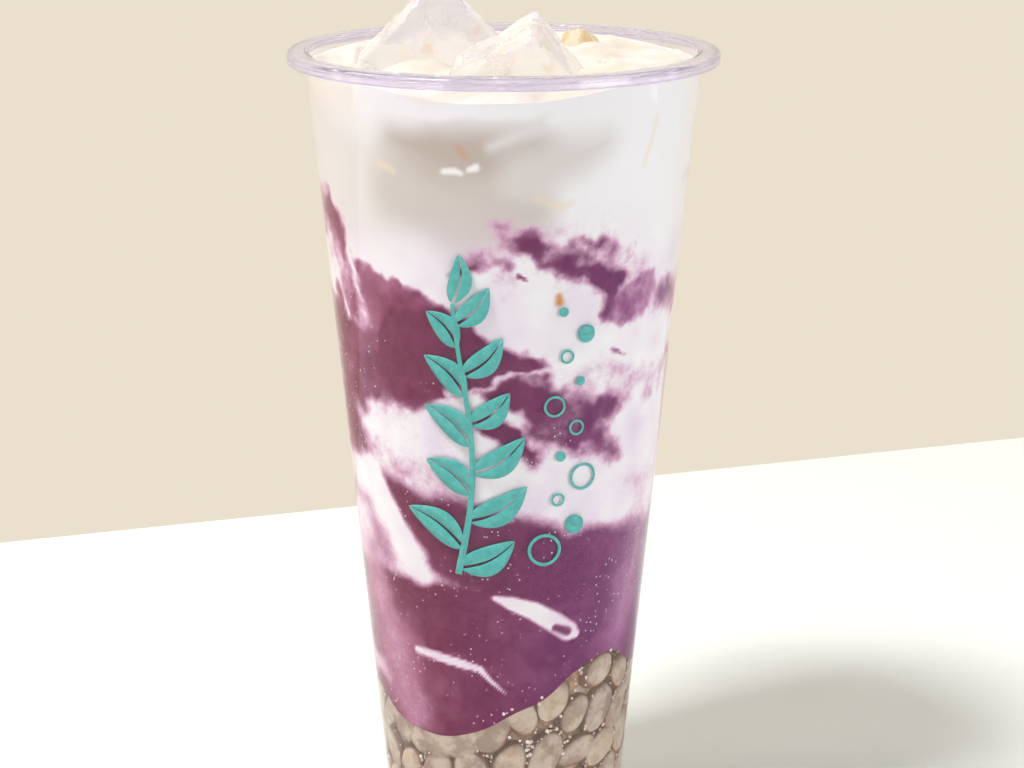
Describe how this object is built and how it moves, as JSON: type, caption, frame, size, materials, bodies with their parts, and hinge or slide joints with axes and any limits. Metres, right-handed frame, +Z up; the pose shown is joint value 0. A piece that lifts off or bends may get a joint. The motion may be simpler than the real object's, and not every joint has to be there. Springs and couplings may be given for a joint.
{
  "type": "taro bubble tea in a clear plastic cup",
  "caption": "Tall tapered clear cup with a rolled lip, filled with pearls, taro paste and milk, with ice floating at the top.",
  "frame": {"origin": "centre of the cup's foot, on the surface that it stands on", "axes": "+Z up along the cup's axis, -Y towards the front with the printed design, +X to the right of the front"},
  "size_m": [0.09, 0.09, 0.1894],
  "materials": {
    "clear_plastic": "clear gloss",
    "pearls_in_syrup": "wet gloss",
    "taro": "wet satin",
    "milk": "wet gloss",
    "ice": "wet gloss",
    "amber_sugar": "wet gloss",
    "print": "satin"
  },
  "bodies": {
    "root": {"cup": "clear_plastic", "pearl_heap": "pearls_in_syrup", "taro_paste": "taro", "milk": "milk", "ice_left": "ice", "ice_right": "ice", "ice_back": "ice", "ice_chip": "ice", "amber_lump": "amber_sugar"}
  },
  "joints": []
}
